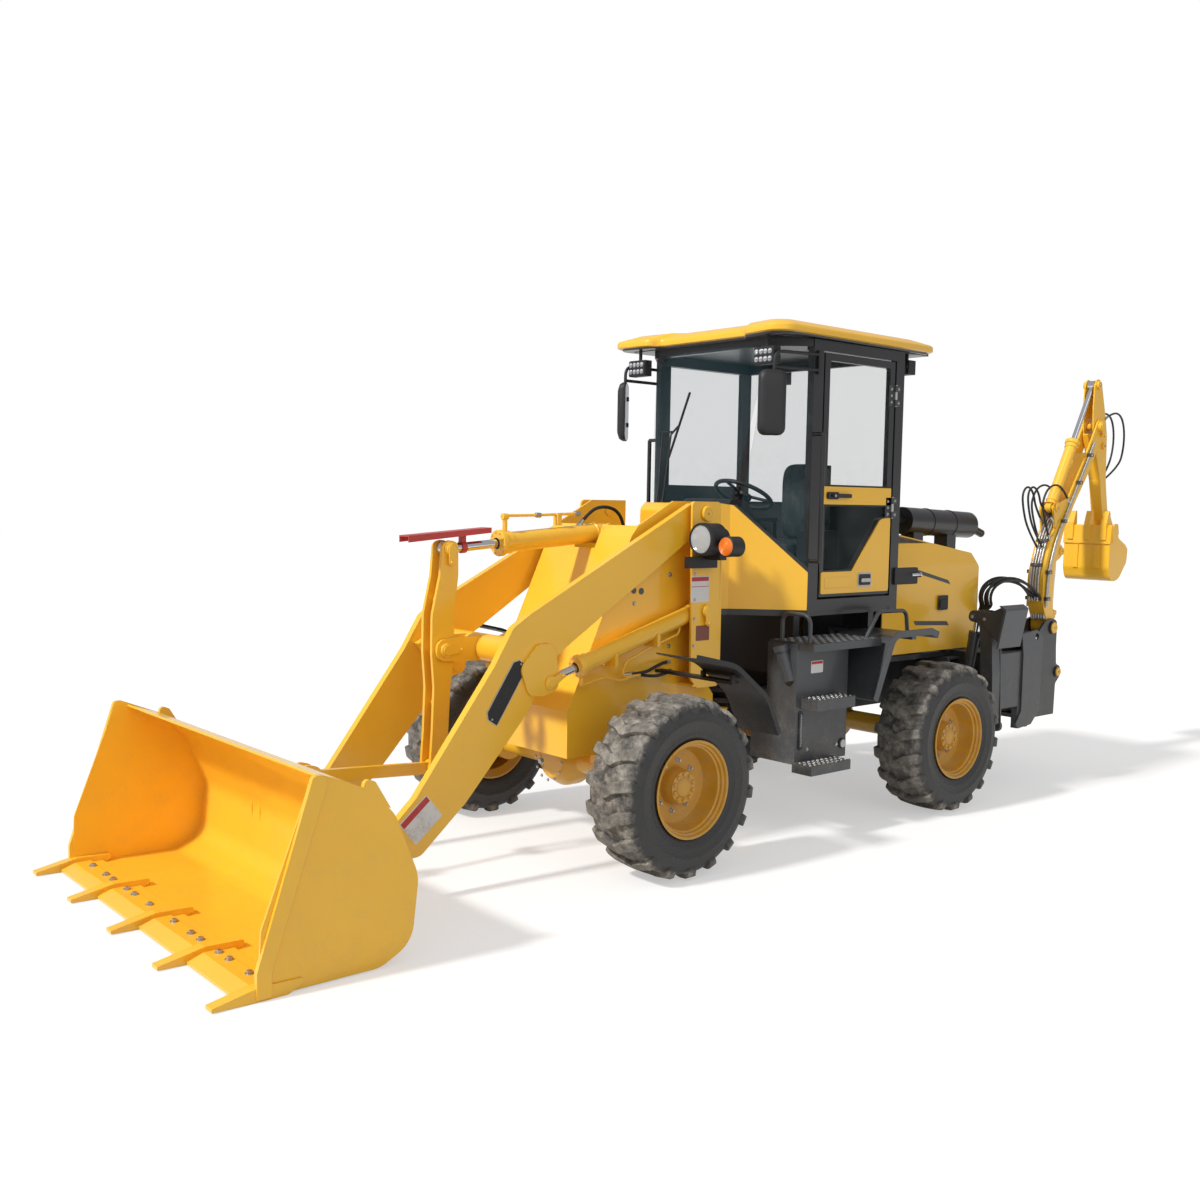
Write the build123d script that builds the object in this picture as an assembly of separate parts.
# Backhoe loader: articulated wheel loader with a side-shift backhoe, as separate sub-parts.
# Millimetres. +X points forward to the loader bucket, +Y to the machine's left, +Z up.
# Working origin: on the ground under the front axle. The export moves every part by MID_X,
# which puts the finished origin at the middle of the machine's box, on the ground.
import os
from math import atan2, cos, degrees, hypot, pi, radians, sin, tan

from build123d import *

os.makedirs("parts", exist_ok=True)

# ---- driving sizes -------------------------------------------------------------------
WHEELBASE = 2616
TYRE_R = 525          # ground to axle, outside of the lugs
TYRE_W = 376
WHEEL_Y = 955         # middle of each tyre
RIM_R = 282           # rim flange
HINGE_X = -1200       # articulation hinge
ARM_Y = 470           # middle of each loader arm
ARM_T = 50
CAB_Y = 744           # outside of the cab walls
HOOD_Y = 500
HOE_Y = 580           # side shift at rest: the digger hangs at the left
RAIL_Y = 865          # half width of the digger's frame
REAR_X = -WHEELBASE
BUCKET_Y = 1209       # half width of the loader bucket
FIT = 0.6             # play of pins in moving eyes, and beside them
REST = 0.6            # play between a moving part and the pad or ear it runs on
GAP = 6.0             # side play between moving plates
BUCKET_TIP = 2863     # tooth tips ahead of the front axle

parts = {}


# ---- shape helpers -------------------------------------------------------------------
def corner_path(points, closed=True):
    """Edges through points (a, b) or (a, b, radius): lines joined by tangent arcs.

    A radius too large for its two sides is reduced to fit beside its neighbours' arcs.
    """
    pts = [(p[0], p[1], p[2] if len(p) > 2 else 0) for p in points]
    n = len(pts)
    stops = []
    for i, (px, py, r) in enumerate(pts):
        if r == 0 or (not closed and i in (0, n - 1)):
            stops.append(((px, py), None, (px, py)))
            continue
        ax, ay = pts[i - 1][0] - px, pts[i - 1][1] - py
        bx, by = pts[(i + 1) % n][0] - px, pts[(i + 1) % n][1] - py
        la, lb = hypot(ax, ay), hypot(bx, by)
        ax, ay, bx, by = ax / la, ay / la, bx / lb, by / lb
        half = (pi - abs(atan2(ax * by - ay * bx, ax * bx + ay * by))) / 2
        room_a = la * (0.49 if pts[i - 1][2] else 1)
        room_b = lb * (0.49 if pts[(i + 1) % n][2] else 1)
        r = min(r, room_a / tan(half), room_b / tan(half))
        back = r * tan(half)
        start, end = (px + ax * back, py + ay * back), (px + bx * back, py + by * back)
        mx, my = ax + bx, ay + by
        lm = hypot(mx, my)
        out = r / cos(half) - r
        stops.append((start, (px + mx / lm * out, py + my / lm * out), end))
    edges = []
    for i, (start, middle, end) in enumerate(stops):
        if middle:
            edges.append(ThreePointArc(start, middle, end))
        if closed or i < n - 1:
            nxt = stops[(i + 1) % n][0]
            if hypot(nxt[0] - end[0], nxt[1] - end[1]) > 1e-6:
                edges.append(Line(end, nxt))
    return edges


def face(points):
    return make_face(corner_path(points))


def side(points, y0, y1):
    """An XZ outline made solid from y0 to y1."""
    plane = Plane(origin=(0, y1, 0), x_dir=(1, 0, 0), z_dir=(0, -1, 0))
    return extrude(plane * face(points), amount=y1 - y0)


def cross(points, x0, x1):
    """A YZ outline made solid from x0 to x1."""
    plane = Plane(origin=(x0, 0, 0), x_dir=(0, 1, 0), z_dir=(1, 0, 0))
    return extrude(plane * face(points), amount=x1 - x0)


def plan(points, z0, z1):
    """An XY outline made solid from z0 to z1."""
    return extrude(Plane(origin=(0, 0, z0)) * face(points), amount=z1 - z0)


def block(x0, x1, y0, y1, z0, z1):
    return Pos((x0 + x1) / 2, (y0 + y1) / 2, (z0 + z1) / 2) * Box(abs(x1 - x0), abs(y1 - y0), abs(z1 - z0))


def rod(p, q, r):
    """A round bar from point p to point q."""
    p, q = Vector(*p), Vector(*q)
    plane = Plane(origin=p, z_dir=(q - p))
    return extrude(plane * Circle(r), amount=(q - p).length)


def pin(x, z, y0, y1, r):
    return rod((x, y0, z), (x, y1, z), r)


def strip(points, t):
    """An open XZ path (x, z[, radius]) given thickness t to its left, as outline points."""
    n = len(points)
    inner = []
    for i in range(n):
        px, pz = points[i][:2]
        radius = points[i][2] if len(points[i]) > 2 else 0
        normals = []
        for j in (i - 1, i):
            if 0 <= j < n - 1:
                dx, dz = points[j + 1][0] - points[j][0], points[j + 1][1] - points[j][1]
                length = hypot(dx, dz)
                normals.append((-dz / length, dx / length, dx, dz))
        nx = sum(k[0] for k in normals) / len(normals)
        nz = sum(k[1] for k in normals) / len(normals)
        scale = t / (nx * nx + nz * nz)
        if radius:
            turn = normals[0][2] * normals[1][3] - normals[0][3] * normals[1][2]
            radius = radius - t if turn > 0 else radius + t
        inner.append((px + nx * scale, pz + nz * scale, radius))
    return list(points) + inner[::-1]


def both(shape):
    """The shape and its mirror image on the machine's other side."""
    return shape + mirror(shape, about=Plane.XZ)


def along(p, q, distance):
    """The point that far from p towards q, in XZ."""
    length = hypot(q[0] - p[0], q[1] - p[1])
    return (p[0] + (q[0] - p[0]) * distance / length, p[1] + (q[1] - p[1]) * distance / length)


def at_y(p, y):
    return (p[0], y, p[1])


def barrel_xz(base, eye, gland, y, r, bore, lug, pin_r, half):
    """A cylinder's tube with its base eye (radius lug, half as thick), bored from its gland."""
    start, end = along(base, eye, lug * 0.8), along(base, eye, gland)
    ring = along(base, eye, gland - 60)
    body = rod(at_y(start, y), at_y(end, y), r) + rod(at_y(ring, y), at_y(end, y), r * 1.09)
    body += pin(*base, y - half, y + half, lug)
    body -= rod(at_y(along(base, eye, lug * 2), y), at_y(along(base, eye, gland + 10), y), bore)
    return body - pin(*base, y - r * 2, y + r * 2, pin_r)


def rod_xz(base, eye, inside, y, r, lug, pin_r, half):
    """A piston rod from that far along the tube to its eye (radius lug)."""
    body = rod(at_y(along(base, eye, inside), y), at_y(eye, y), r)
    body += pin(*eye, y - half, y + half, lug)
    return body - pin(*eye, y - r * 2, y + r * 2, pin_r)


# ---- wheels --------------------------------------------------------------------------
LUGS = 18
LUG_H = 32


def wheel():
    """A lugged tyre on its dished rim, axis along Y at the origin, outside face towards +Y."""
    half, tread = TYRE_W / 2, TYRE_R - LUG_H
    carcass = [
        (RIM_R - 22, -half + 60), (RIM_R - 8, -half + 26), (RIM_R + 60, -half + 4), (tread - 70, -half),
        (tread - 8, -half + 34), (tread, -half + 60), (tread, half - 60), (tread - 8, half - 34),
        (tread - 70, half), (RIM_R + 60, half - 4), (RIM_R - 8, half - 26), (RIM_R - 22, half - 60),
    ]
    rim = [
        (RIM_R - 22, -half + 60), (RIM_R - 22, half - 60), (RIM_R - 8, half - 26), (RIM_R, half - 12),
        (RIM_R - 14, half - 10), (RIM_R - 36, half - 40), (RIM_R - 48, half - 70), (RIM_R - 60, 40),
        (96, 26), (96, 92), (84, 104), (0, 104), (0, 8), (RIM_R - 70, 8), (RIM_R - 48, -half + 70),
        (RIM_R - 36, -half + 40), (RIM_R - 14, -half + 12), (RIM_R - 8, -half + 26),
    ]
    plane = Plane(origin=(0, 0, 0), x_dir=(1, 0, 0), z_dir=(0, 0, 1))
    tyre = revolve(plane * make_face(Polyline(*carcass, close=True)), axis=Axis.Y)
    disc = revolve(plane * make_face(Polyline(*rim, close=True)), axis=Axis.Y)
    body = tyre + disc
    pitch = 360 / LUGS
    shoulder_y = half - 18
    foot = [(-34, shoulder_y), (30, shoulder_y), (92, 0), (30, -shoulder_y), (-34, -shoulder_y), (28, 0)]
    lug = plan(foot, tread - 12, TYRE_R + 20) & pin(0, 0, -half, half, TYRE_R)
    end = [(-34, half - 20), (30, half - 20), (30, half - 4), (-34, half - 4)]
    for sign in (1, -1):
        lug += plan([(x, sign * y) for x, y in end], tread - 62, TYRE_R - 22)
    for i in range(LUGS):
        body += Rot(0, pitch * i, 0) * lug
    return body


WHEELS = [  # name, axle x, side
    ("wheel_front_left", 0, 1), ("wheel_front_right", 0, -1),
    ("wheel_rear_left", REAR_X, 1), ("wheel_rear_right", REAR_X, -1),
]
left_wheel = wheel()
right_wheel = mirror(left_wheel, about=Plane.XZ)
for name, axle_x, hand in WHEELS:
    shape = left_wheel if hand > 0 else right_wheel
    parts[name] = Pos(axle_x, hand * WHEEL_Y, TYRE_R) * shape

AXLE_MOUNT_Z = TYRE_R + 190
HUB_FACE = WHEEL_Y + 8 - REST   # the axle ends just inside the wheel disc


def axle(x, nose):
    """A driving axle with its domed differential, at axle position x; nose is the dome's side."""
    beam = pin(x, TYRE_R, -620, 620, 72)
    beam += both(pin(x, TYRE_R, 600, 800, 118)) + both(pin(x, TYRE_R, 800, HUB_FACE, 92))
    dome = revolve(
        Plane(origin=(x, 0, TYRE_R), x_dir=(0, 0, 1), z_dir=(0, -1, 0))
        * face([(0, -nose * 130), (120, -nose * 130, 20), (176, -nose * 40, 50), (176, nose * 60, 60),
                (96, nose * 176, 60), (0, nose * 196)]),
        axis=Axis((x, 0, TYRE_R), (1, 0, 0)))
    return beam + dome


parts["front_axle"] = axle(0, 1) + both(block(-90, 90, 330, 410, TYRE_R + 30, TYRE_R + 93))
parts["rear_axle"] = axle(REAR_X, -1) + block(REAR_X - 60, REAR_X + 60, -90, 90, TYRE_R + 60, AXLE_MOUNT_Z)

# ---- front frame and loader ----------------------------------------------------------
TOWER_IN, TOWER_OUT = 402, 530          # inner faces of the two tower plates on each side
PLATE = 16
ARM_PIVOT = (-650, 2075)
LIFT_BASE = (-662, 1466)
LIFT_EYE = (550, 1106)
TILT_BASE = (-267, 1946)
TILT_EAR = 66                           # inner face of the tilt cylinder's two ears
TILT_EYE = (931, 1852)
BELL_PIVOT = (975, 1276)
LINK_REAR = (1008, 585)
LINK_FRONT = (1800, 634)
BUCKET_PIVOT = (1700, 320)
FRAME_BACK = -890                       # rear edge of the front frame
STEER_EYE = (-1050, 350)                # in plan, at the front frame
STEER_BASE = (-1800, 372)               # in plan, on the rear frame's left rail
STEER_HALF, STEER_EAR = 38, 16           # half the gap between the steering ears, and their thickness
STEER_Z = 735
HINGE_R = 34


def front_frame():
    wall = [(FRAME_BACK, 600), (FRAME_BACK, 900), (-800, 1010), (-800, 2150), (-500, 2150), (-205, 1995, 30),
            (-150, 1930, 30), (330, 900, 40), (330, 618), (-620, 618), (-700, 600)]
    tower = [(-790, 980, 30), (-775, 2150, 30), (-525, 2150, 30), (-540, 1040, 30), (-600, 980, 30)]
    body = both(side(wall, TOWER_IN - PLATE, TOWER_IN))
    body += both(side(tower, TOWER_OUT, TOWER_OUT + PLATE))
    body += both(block(-800, -784, TOWER_IN - 2, TOWER_OUT + PLATE, 990, 1980))
    body += both(block(-785, -560, TOWER_IN - 2, TOWER_OUT + PLATE, 990, 1006))
    inner = TOWER_IN - PLATE + 1
    body += side([(-205, 1995), (-150, 1930), (330, 900), (330, 618), (316, 618), (316, 892), (-162, 1922),
                  (-216, 1984)], -inner, inner)
    body += block(FRAME_BACK, 330, -inner, inner, 618, 632)
    body += block(-700, -686, -inner, inner, 632, 1960)
    body += block(FRAME_BACK, FRAME_BACK + 16, -inner, inner, 600, 905)
    body += block(-300, -200, -inner, inner, 1880, 1900)
    for low, high in ((634, 662), (806, 838)):
        body += plan([(FRAME_BACK + 2, 200), (HINGE_X, 90, 60), (HINGE_X - 90, 0, 70), (HINGE_X, -90, 60),
                      (FRAME_BACK + 2, -200)], low, high)
    body -= rod((HINGE_X, 0, 560), (HINGE_X, 0, 900), HINGE_R + FIT)
    body -= block(-180, 216, -155, 155, 600, 640)
    body -= block(-400, -50, -100, 100, 1850, 1999)
    body += both(side([(-330, 1885), (-340, 1960, 40), (-267, 2016, 50), (-190, 1970, 30), (-180, 1885)], TILT_EAR,
                      TILT_EAR + 18))
    body += both(pin(*ARM_PIVOT, TOWER_IN - 24, TOWER_OUT + 30, 33))
    body += both(pin(*LIFT_BASE, TOWER_IN - 24, TOWER_OUT + 30, 27))
    body += pin(*TILT_BASE, -92, 92, 27)
    ex, ey = STEER_EYE
    for low in (STEER_Z - STEER_HALF - STEER_EAR, STEER_Z + STEER_HALF):
        body += plan([(FRAME_BACK + 2, ey - 90), (ex, ey - 36, 34), (ex - 36, ey, 34), (ex, ey + 36, 34),
                      (FRAME_BACK + 2, ey + 36)], low, low + STEER_EAR)
    return body


parts["front_frame"] = front_frame()


def guards():
    """Front mudguards: a bent sheet behind each tyre on a bracket from the frame."""
    path = [(-10, 1262), (-330, 1190, 260), (-600, 985, 240), (-715, 755)]
    sheet = side(strip(path, -9), 792, 1128)
    lip = side(strip(path, -30), 1119, 1128)
    arm = block(-430, -370, TOWER_IN, 1060, 1084, 1102) + block(-400, -370, 1040, 1060, 1084, 1141)
    arm += block(-400, -370, 800, 820, 1084, 1141)
    return both(sheet + lip + arm)


parts["front_mudguards"] = guards()


def lamps():
    """Head lamps and turn lamps on the towers."""
    x, y, z = -560, 655, 1920
    body = rod((x + 40, y, z), (x - 70, y, z), 98) + rod((x - 68, y, z), (x - 120, y, z), 70)
    body += rod((x + 8, y + 172, z - 40), (x - 80, y + 172, z - 40), 62)
    body += block(x - 86, x - 66, y - 20, y + 180, z - 90, z + 20)
    body += block(x - 150, x + 96, TOWER_OUT + PLATE + 0.5, TOWER_OUT + PLATE + 44, z - 182, z - 112)
    body += block(x - 100, x - 40, TOWER_OUT + PLATE + 20, y + 60, z - 128, z - 84)
    return both(body)


parts["head_lamps"] = lamps()


def arms():
    plate = [(-725, 2075, 60), (-690, 2140, 60), (-575, 2138, 60), (680, 1503, 60), (800, 1430, 60), (925, 1226, 60),
             (1430, 555, 80), (1560, 435, 60), (1760, 392, 60), (1778, 262, 60), (1700, 236, 60), (1400, 240, 80),
             (1110, 490, 80), (700, 940, 80), (560, 1200, 60), (420, 1300, 60), (-315, 1758, 60), (-680, 1990, 60)]
    cheek = [(700, 1040, 60), (600, 1032, 50), (490, 1060, 50), (488, 1160, 40), (520, 1330, 60), (640, 1330, 60),
             (760, 1200, 60)]
    y0, y1 = ARM_Y - ARM_T / 2, ARM_Y + ARM_T / 2
    body = both(side(plate, y0, y1))
    body += both(side(cheek, y0 - 18, y0) + side(cheek, y1, y1 + 18))
    body += both(pin(*ARM_PIVOT, y0 - 14, y1 + 14, 74)) + both(pin(*BUCKET_PIVOT, y0 - 10, y1 + 10, 70))
    body -= both(side([(470, 1010), (470, 1185), (560, 1185), (640, 1100), (640, 1010)], y0, y1))
    body += pin(690, 1270, -y0 - 1, y0 + 1, 84)
    ear = [(690, 1200), (850, 1205, 40), (1035, 1215, 55), (1035, 1335, 55), (850, 1345, 40), (690, 1345)]
    body += both(side(ear, 66, 86))
    body -= pin(690, 1270, -y0 - 1, y0 + 1, 70)
    gusset = [(560, 1180), (700, 1350), (860, 1260), (760, 1140)]
    body += both(side(gusset, y0 - 60, y0))
    for y in (1, -1):
        body -= pin(*ARM_PIVOT, y * 300, y * 700, 33 + FIT)
        body -= pin(*BUCKET_PIVOT, y * 300, y * 700, 32 + FIT)
        body += pin(*LIFT_EYE, y * (y0 - 24), y * (y0 - 17.5), 40) + pin(*LIFT_EYE, y * (y1 + 17.5), y * (y1 + 24), 40)
    return body + pin(*BELL_PIVOT, -94, 94, 30)


parts["loader_arms"] = arms()

LIFT_LENGTH = hypot(LIFT_EYE[0] - LIFT_BASE[0], LIFT_EYE[1] - LIFT_BASE[1])
LIFT_R, LIFT_ROD, LIFT_EYE_HALF = 52, 24, ARM_T / 2 - REST
lift_barrel = barrel_xz(LIFT_BASE, LIFT_EYE, LIFT_LENGTH - 235, ARM_Y, LIFT_R, LIFT_ROD + FIT, 52,
                        27 + FIT, 50)
lift_rod = rod_xz(LIFT_BASE, LIFT_EYE, LIFT_LENGTH - 860, ARM_Y, LIFT_ROD, 39, 24, LIFT_EYE_HALF)
parts["lift_barrels"] = both(lift_barrel)
parts["lift_rods"] = both(lift_rod)

TILT_LENGTH = hypot(TILT_EYE[0] - TILT_BASE[0], TILT_EYE[1] - TILT_BASE[1])
TILT_R, TILT_ROD, TILT_EYE_HALF = 60, 27, 30
parts["tilt_barrel"] = barrel_xz(TILT_BASE, TILT_EYE, TILT_LENGTH - 372, 0, TILT_R, TILT_ROD + FIT, 54,
                                 27 + FIT, TILT_EAR - REST)
parts["tilt_rod"] = rod_xz(TILT_BASE, TILT_EYE, TILT_LENGTH - 720, 0, TILT_ROD, 42, 26, TILT_EYE_HALF)


def strut():
    """The red channel that locks the raised arms, carried over the tilt rod."""
    lift = 92
    slope = (TILT_EYE[1] - TILT_BASE[1]) / (TILT_EYE[0] - TILT_BASE[0])
    line = [(x, TILT_EYE[1] + (x - TILT_EYE[0]) * slope + lift) for x in (640, 1205)]
    top = side([line[0], line[1], (line[1][0], line[1][1] + 9), (line[0][0], line[0][1] + 9)], -52, 52)
    flange = [line[0], line[1], (line[1][0], line[1][1] - 30), (line[0][0], line[0][1] - 22)]
    collar = [at_y(along(TILT_EYE, TILT_BASE, d), 0) for d in (105, 135)]
    foot = along(TILT_EYE, TILT_BASE, 120)
    body = top + both(side(flange, 44, 52)) + rod(*collar, TILT_ROD + 9)
    body += block(foot[0] - 15, foot[0] + 15, -18, 18, foot[1], foot[1] + lift + 3)
    return body - rod(at_y(TILT_BASE, 0), at_y(TILT_EYE, 0), TILT_ROD)


parts["safety_strut"] = strut()


def bellcrank():
    outline = [(931, 1905, 50), (985, 1890, 50), (1000, 1700, 200), (1050, 1480, 200), (1052, 1260, 90), (1035, 1060, 200),
               (1045, 800, 200), (1062, 535, 50), (956, 535, 50), (938, 800, 200), (925, 1060, 200), (898, 1260, 90),
               (905, 1480, 200), (876, 1700, 200), (878, 1890, 50)]
    body = both(side(outline, 36, 58))
    for x, z in ((965, 1560), (975, 960)):
        body += pin(x, z, -40, 40, 26)
    for x, z in (TILT_EYE, LINK_REAR):
        body += both(pin(x, z, 57, 70, 42))
    body += both(pin(*TILT_EYE, TILT_EYE_HALF + REST, 37, 42))
    body += both(pin(*BELL_PIVOT, 57, 65, 56))
    body -= pin(*BELL_PIVOT, -90, 90, 30 + FIT)
    return body - pin(*LINK_REAR, -90, 90, 24 + FIT)


parts["bellcrank"] = bellcrank()


def push_link():
    (ax, az), (bx, bz) = LINK_REAR, LINK_FRONT
    body = side([(ax, az - 34), (bx, bz - 34), (bx, bz + 34), (ax, az + 34)], -18, 18)
    body += pin(ax, az, -30, 30, 48) + pin(bx, bz, -30, 30, 48) + pin(ax, az, -68, 68, 24)
    return body - pin(bx, bz, -40, 40, 26)


parts["push_link"] = push_link()

TEETH = 5
TOOTH_W = 64


def loader_bucket():
    half = BUCKET_Y
    back = [(2560, 8), (2060, 8, 150), (1895, 90, 150), (1862, 400, 200), (1985, 705, 200), (2140, 850, 200), (2330, 918)]
    body = side(strip(back, -12), -half + 12, half - 12)
    cheek = [(2560, 8), (2060, 8, 150), (1895, 90, 150), (1860, 400, 200), (1985, 705, 200), (2113, 838), (2350, 935, 30),
             (2400, 930, 30), (2640, 300), (2655, 8)]
    body += both(side(cheek, half - 13, half))
    edge = [(2350, 940, 24), (2405, 940, 24), (2668, 130), (2668, 12), (2600, 12), (2600, 118), (2335, 900)]
    body += both(side(edge, half - 8, half + 20))
    ear = [(2010, 740), (2090, 872, 26), (2140, 890, 26), (2150, 850), (2280, 880), (2250, 820), (2100, 760)]
    body += both(side(ear, half - 26, half))
    body += side([(2500, 8), (2500, 34), (2640, 34), (2700, 14), (2700, 8)], -half, half)
    pitch = (2 * half - TOOTH_W + 18) / (TEETH - 1)
    for i in range(TEETH):
        y = -half + TOOTH_W / 2 - 9 + i * pitch
        tooth = [(2450, 34), (2450, 60, 10), (2640, 66, 20), (2863, 22), (2863, 6), (2700, 0), (2520, 0)]
        body += side(tooth, y - TOOTH_W / 2, y + TOOTH_W / 2)
        if i:
            mid = y - pitch / 2
            body += side([(2575, 33), (2575, 50), (2660, 50), (2735, 24), (2735, 10), (2690, 10)],
                         mid - pitch / 2 + 55, mid + pitch / 2 - 55)
    lug = [(1882, 170), (1700, 236, 60), (1620, 320, 60), (1700, 404, 60), (1884, 500)]
    y0, y1 = ARM_Y - ARM_T / 2 - 10 - GAP, ARM_Y + ARM_T / 2 + 10 + GAP
    body += both(side(lug, y0 - 18, y0) + side(lug, y1, y1 + 18) + pin(*BUCKET_PIVOT, y0 - 26, y1 + 26, 32))
    horn = [(1892, 459), (1745, 590, 50), (1745, 690, 50), (1830, 712, 50), (1966, 642)]
    body += both(side(horn, 36, 56) + pin(*LINK_FRONT, 55, 66, 34) + pin(*LINK_FRONT, 30 + REST, 37, 34))
    body += side([(1880, 470), (1884, 560), (1990, 716), (1992, 700), (1896, 548), (1893, 470)], -480, 480)
    return body


parts["loader_bucket"] = loader_bucket()


def steering():
    """The steering cylinder beside the hinge, lying flat."""
    (bx, by), (ex, ey) = STEER_BASE, STEER_EYE
    length = hypot(ex - bx, ey - by)
    at = lambda d: (bx + (ex - bx) * d / length, by + (ey - by) * d / length, STEER_Z)
    tube = rod(at(30), at(490), 34) + rod(at(450), at(490), 38)
    tube += rod((bx, by, STEER_Z - 24), (bx, by, STEER_Z + 24), 38)
    tube -= rod(at(70), at(520), 19) + rod((bx, by, STEER_Z - 40), (bx, by, STEER_Z + 40), 18 + FIT)
    bar = rod(at(290), at(length), 18) + rod((ex, ey, STEER_Z - STEER_HALF + REST), (ex, ey, STEER_Z + STEER_HALF - REST), 34)
    bar -= rod((ex, ey, STEER_Z - 40), (ex, ey, STEER_Z + 40), 17)
    return tube, bar


parts["steering_barrel"], parts["steering_rod"] = steering()

# ---- rear frame, engine and hood -----------------------------------------------------
RAIL_TOP = 1010
HOOD_HINGE, HOOD_LOW = (-2512, 1930), 1042
FRAME_END = -3470
FLOOR_Z = 1410


def rear_frame():
    rail_in, rail_out, neck_x = 250, 280, -1560
    body = both(block(FRAME_END, neck_x, rail_in, rail_out, 640, RAIL_TOP))
    body += both(plan([(neck_x - 1, rail_out), (neck_x - 1, rail_in), (-1300, 140), (-1300, 172)], 600, 900))
    for x in (neck_x - 16, -2230, -2960):
        body += block(x, x + 16, -rail_in - 1, rail_in + 1, 650, RAIL_TOP)
    body += block(-1300, -1284, -172, 172, 590, 900)
    for low, high in ((598, 628), (668, 698), (770, 800), (844, 874)):
        body += plan([(-1290, 170), (HINGE_X, 78, 60), (HINGE_X + 70, 0, 50), (HINGE_X, -78, 60), (-1290, -170)], low, high)
    body -= rod((HINGE_X, 0, 500), (HINGE_X, 0, 1000), HINGE_R)
    body += rod((HINGE_X, 0, 590), (HINGE_X, 0, 884), HINGE_R)
    body += both(block(-2470, neck_x, rail_out - 10, 560, RAIL_TOP - 14, RAIL_TOP))
    body += block(neck_x - 1, -1440, -600, 600, RAIL_TOP - 14, RAIL_TOP)
    body += both(block(-1500, -1440, 320, 600, RAIL_TOP, FLOOR_Z) + block(-2360, -2300, 320, 556, RAIL_TOP, FLOOR_Z))
    body += block(-1456, -1440, -600, 600, RAIL_TOP, FLOOR_Z)
    body += block(FRAME_END, FRAME_END + 20, -315, 315, 640, 1030)
    body += both(block(FRAME_END + 20, -2480, rail_out - 10, 486, 990, 1030))
    for x in (-3380, -2640):
        body += both(block(x - 30, x + 30, 420, 486, 1029, HOOD_LOW - REST))
        body += both(block(x - 30, x + 30, 485, HOOD_Y, HOOD_LOW - 20, HOOD_LOW - REST))
    body += block(-2950, -2222, -60, 60, AXLE_MOUNT_Z, AXLE_MOUNT_Z + 30)
    bx, by = STEER_BASE
    for low in (STEER_Z - STEER_HALF - STEER_EAR, STEER_Z + STEER_HALF):
        body += plan([(bx + 90, rail_out - 1), (bx - 80, rail_out - 1), (bx - 34, by + 24, 30), (bx + 34, by + 24, 30)],
                     low, low + STEER_EAR)
    return body + rod((bx, by, STEER_Z - STEER_HALF - STEER_EAR), (bx, by, STEER_Z + STEER_HALF + STEER_EAR), 18)


parts["rear_frame"] = rear_frame()
parts["engine_block"] = block(-3400, -2560, -250, 250, RAIL_TOP + 40, 1640) + both(
    block(-3300, -3240, 230, 268, RAIL_TOP, RAIL_TOP + 60) + block(-2720, -2660, 230, 268, RAIL_TOP, RAIL_TOP + 60))

SKIN = 8


HOOD_FRONT, HOOD_BACK = (-2540, 1960), (-3667, 1786)


def hood_top(x):
    """Height of the hood's sloping top at x."""
    (x0, z0), (x1, z1) = HOOD_FRONT, HOOD_BACK
    return z0 + (x - x0) * (z1 - z0) / (x1 - x0)


def hood():
    x0, x1, low = HOOD_FRONT[0], -3773, HOOD_LOW
    outer = [(x0, low), HOOD_FRONT, (*HOOD_BACK, 30), (x1, 1681, 30), (x1, low)]
    inner = [(x0 + 30, low - 20), (x0 + 30, hood_top(x0 + 30) - SKIN), (-3663, HOOD_BACK[1] - SKIN, 24),
             (x1 + SKIN, 1678, 24), (x1 + SKIN, low - 20)]
    section = [(HOOD_Y, low), (HOOD_Y, 1700), (HOOD_Y - 14, 2000, 30), (-HOOD_Y + 14, 2000, 30), (-HOOD_Y, 1700),
               (-HOOD_Y, low)]
    body = side(outer, -HOOD_Y, HOOD_Y) & cross(section, x1 - 1, x0 + 1)
    body -= side(inner, -HOOD_Y + SKIN, HOOD_Y - SKIN)
    for za, zb in ((1676, 1580), (1284, 1262)):
        slot = [(-2925, za), (-2950, za - 34), (-3392, zb - 34), (-3360, zb)]
        body -= side(slot, -HOOD_Y - 10, HOOD_Y + 10)
    body -= block(x1 - 10, x1 + 40, -370, 370, 1120, 1600)
    for i in range(11):
        z = 1142 + i * 43
        body += block(x1 + 1, x1 + SKIN, -372, 372, z, z + 18)
    body += block(x1 + SKIN, x1 + SKIN + 8, -8, 8, 1110, 1610) + block(x1 + SKIN, x1 + SKIN + 8, -378, -362, 1110, 1610)
    body += block(x1 + SKIN, x1 + SKIN + 8, 362, 378, 1110, 1610)
    body += both(block(-3330, -3250, HOOD_Y - 2, HOOD_Y + 14, 1376, 1452))
    hx, hz = HOOD_HINGE
    body += both(block(hx, x0 - 30, 345, 385, hz - 14, hood_top(x0) - 3) + pin(hx, hz, 345, 385, 14))
    return body - both(pin(hx, hz, 340, 390, 8 + FIT))


parts["engine_hood"] = hood()


def muffler():
    y, z = 300, 2026
    body = rod((-3010, y, z + 8), (-3890, y, z - 26), 104)
    for x in (-3300, -3600):
        body += rod((x, y, z + 8 - (x + 3010) * -0.0386), (x - 12, y, z + 8 - (x + 3010) * -0.0386), 108)
    body += rod((-2800, y, z + 16), (-3030, y, z + 8), 34)
    body += rod((-3880, y, z - 26), (-4100, y, z - 96), 32)
    for x in (-3150, -3590):
        body += side([(x - 60, hood_top(x - 60)), (x + 60, hood_top(x + 60)), (x + 60, 1960), (x - 60, 1960)], y - 60, y + 60)
    return body


parts["muffler"] = muffler()

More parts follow.
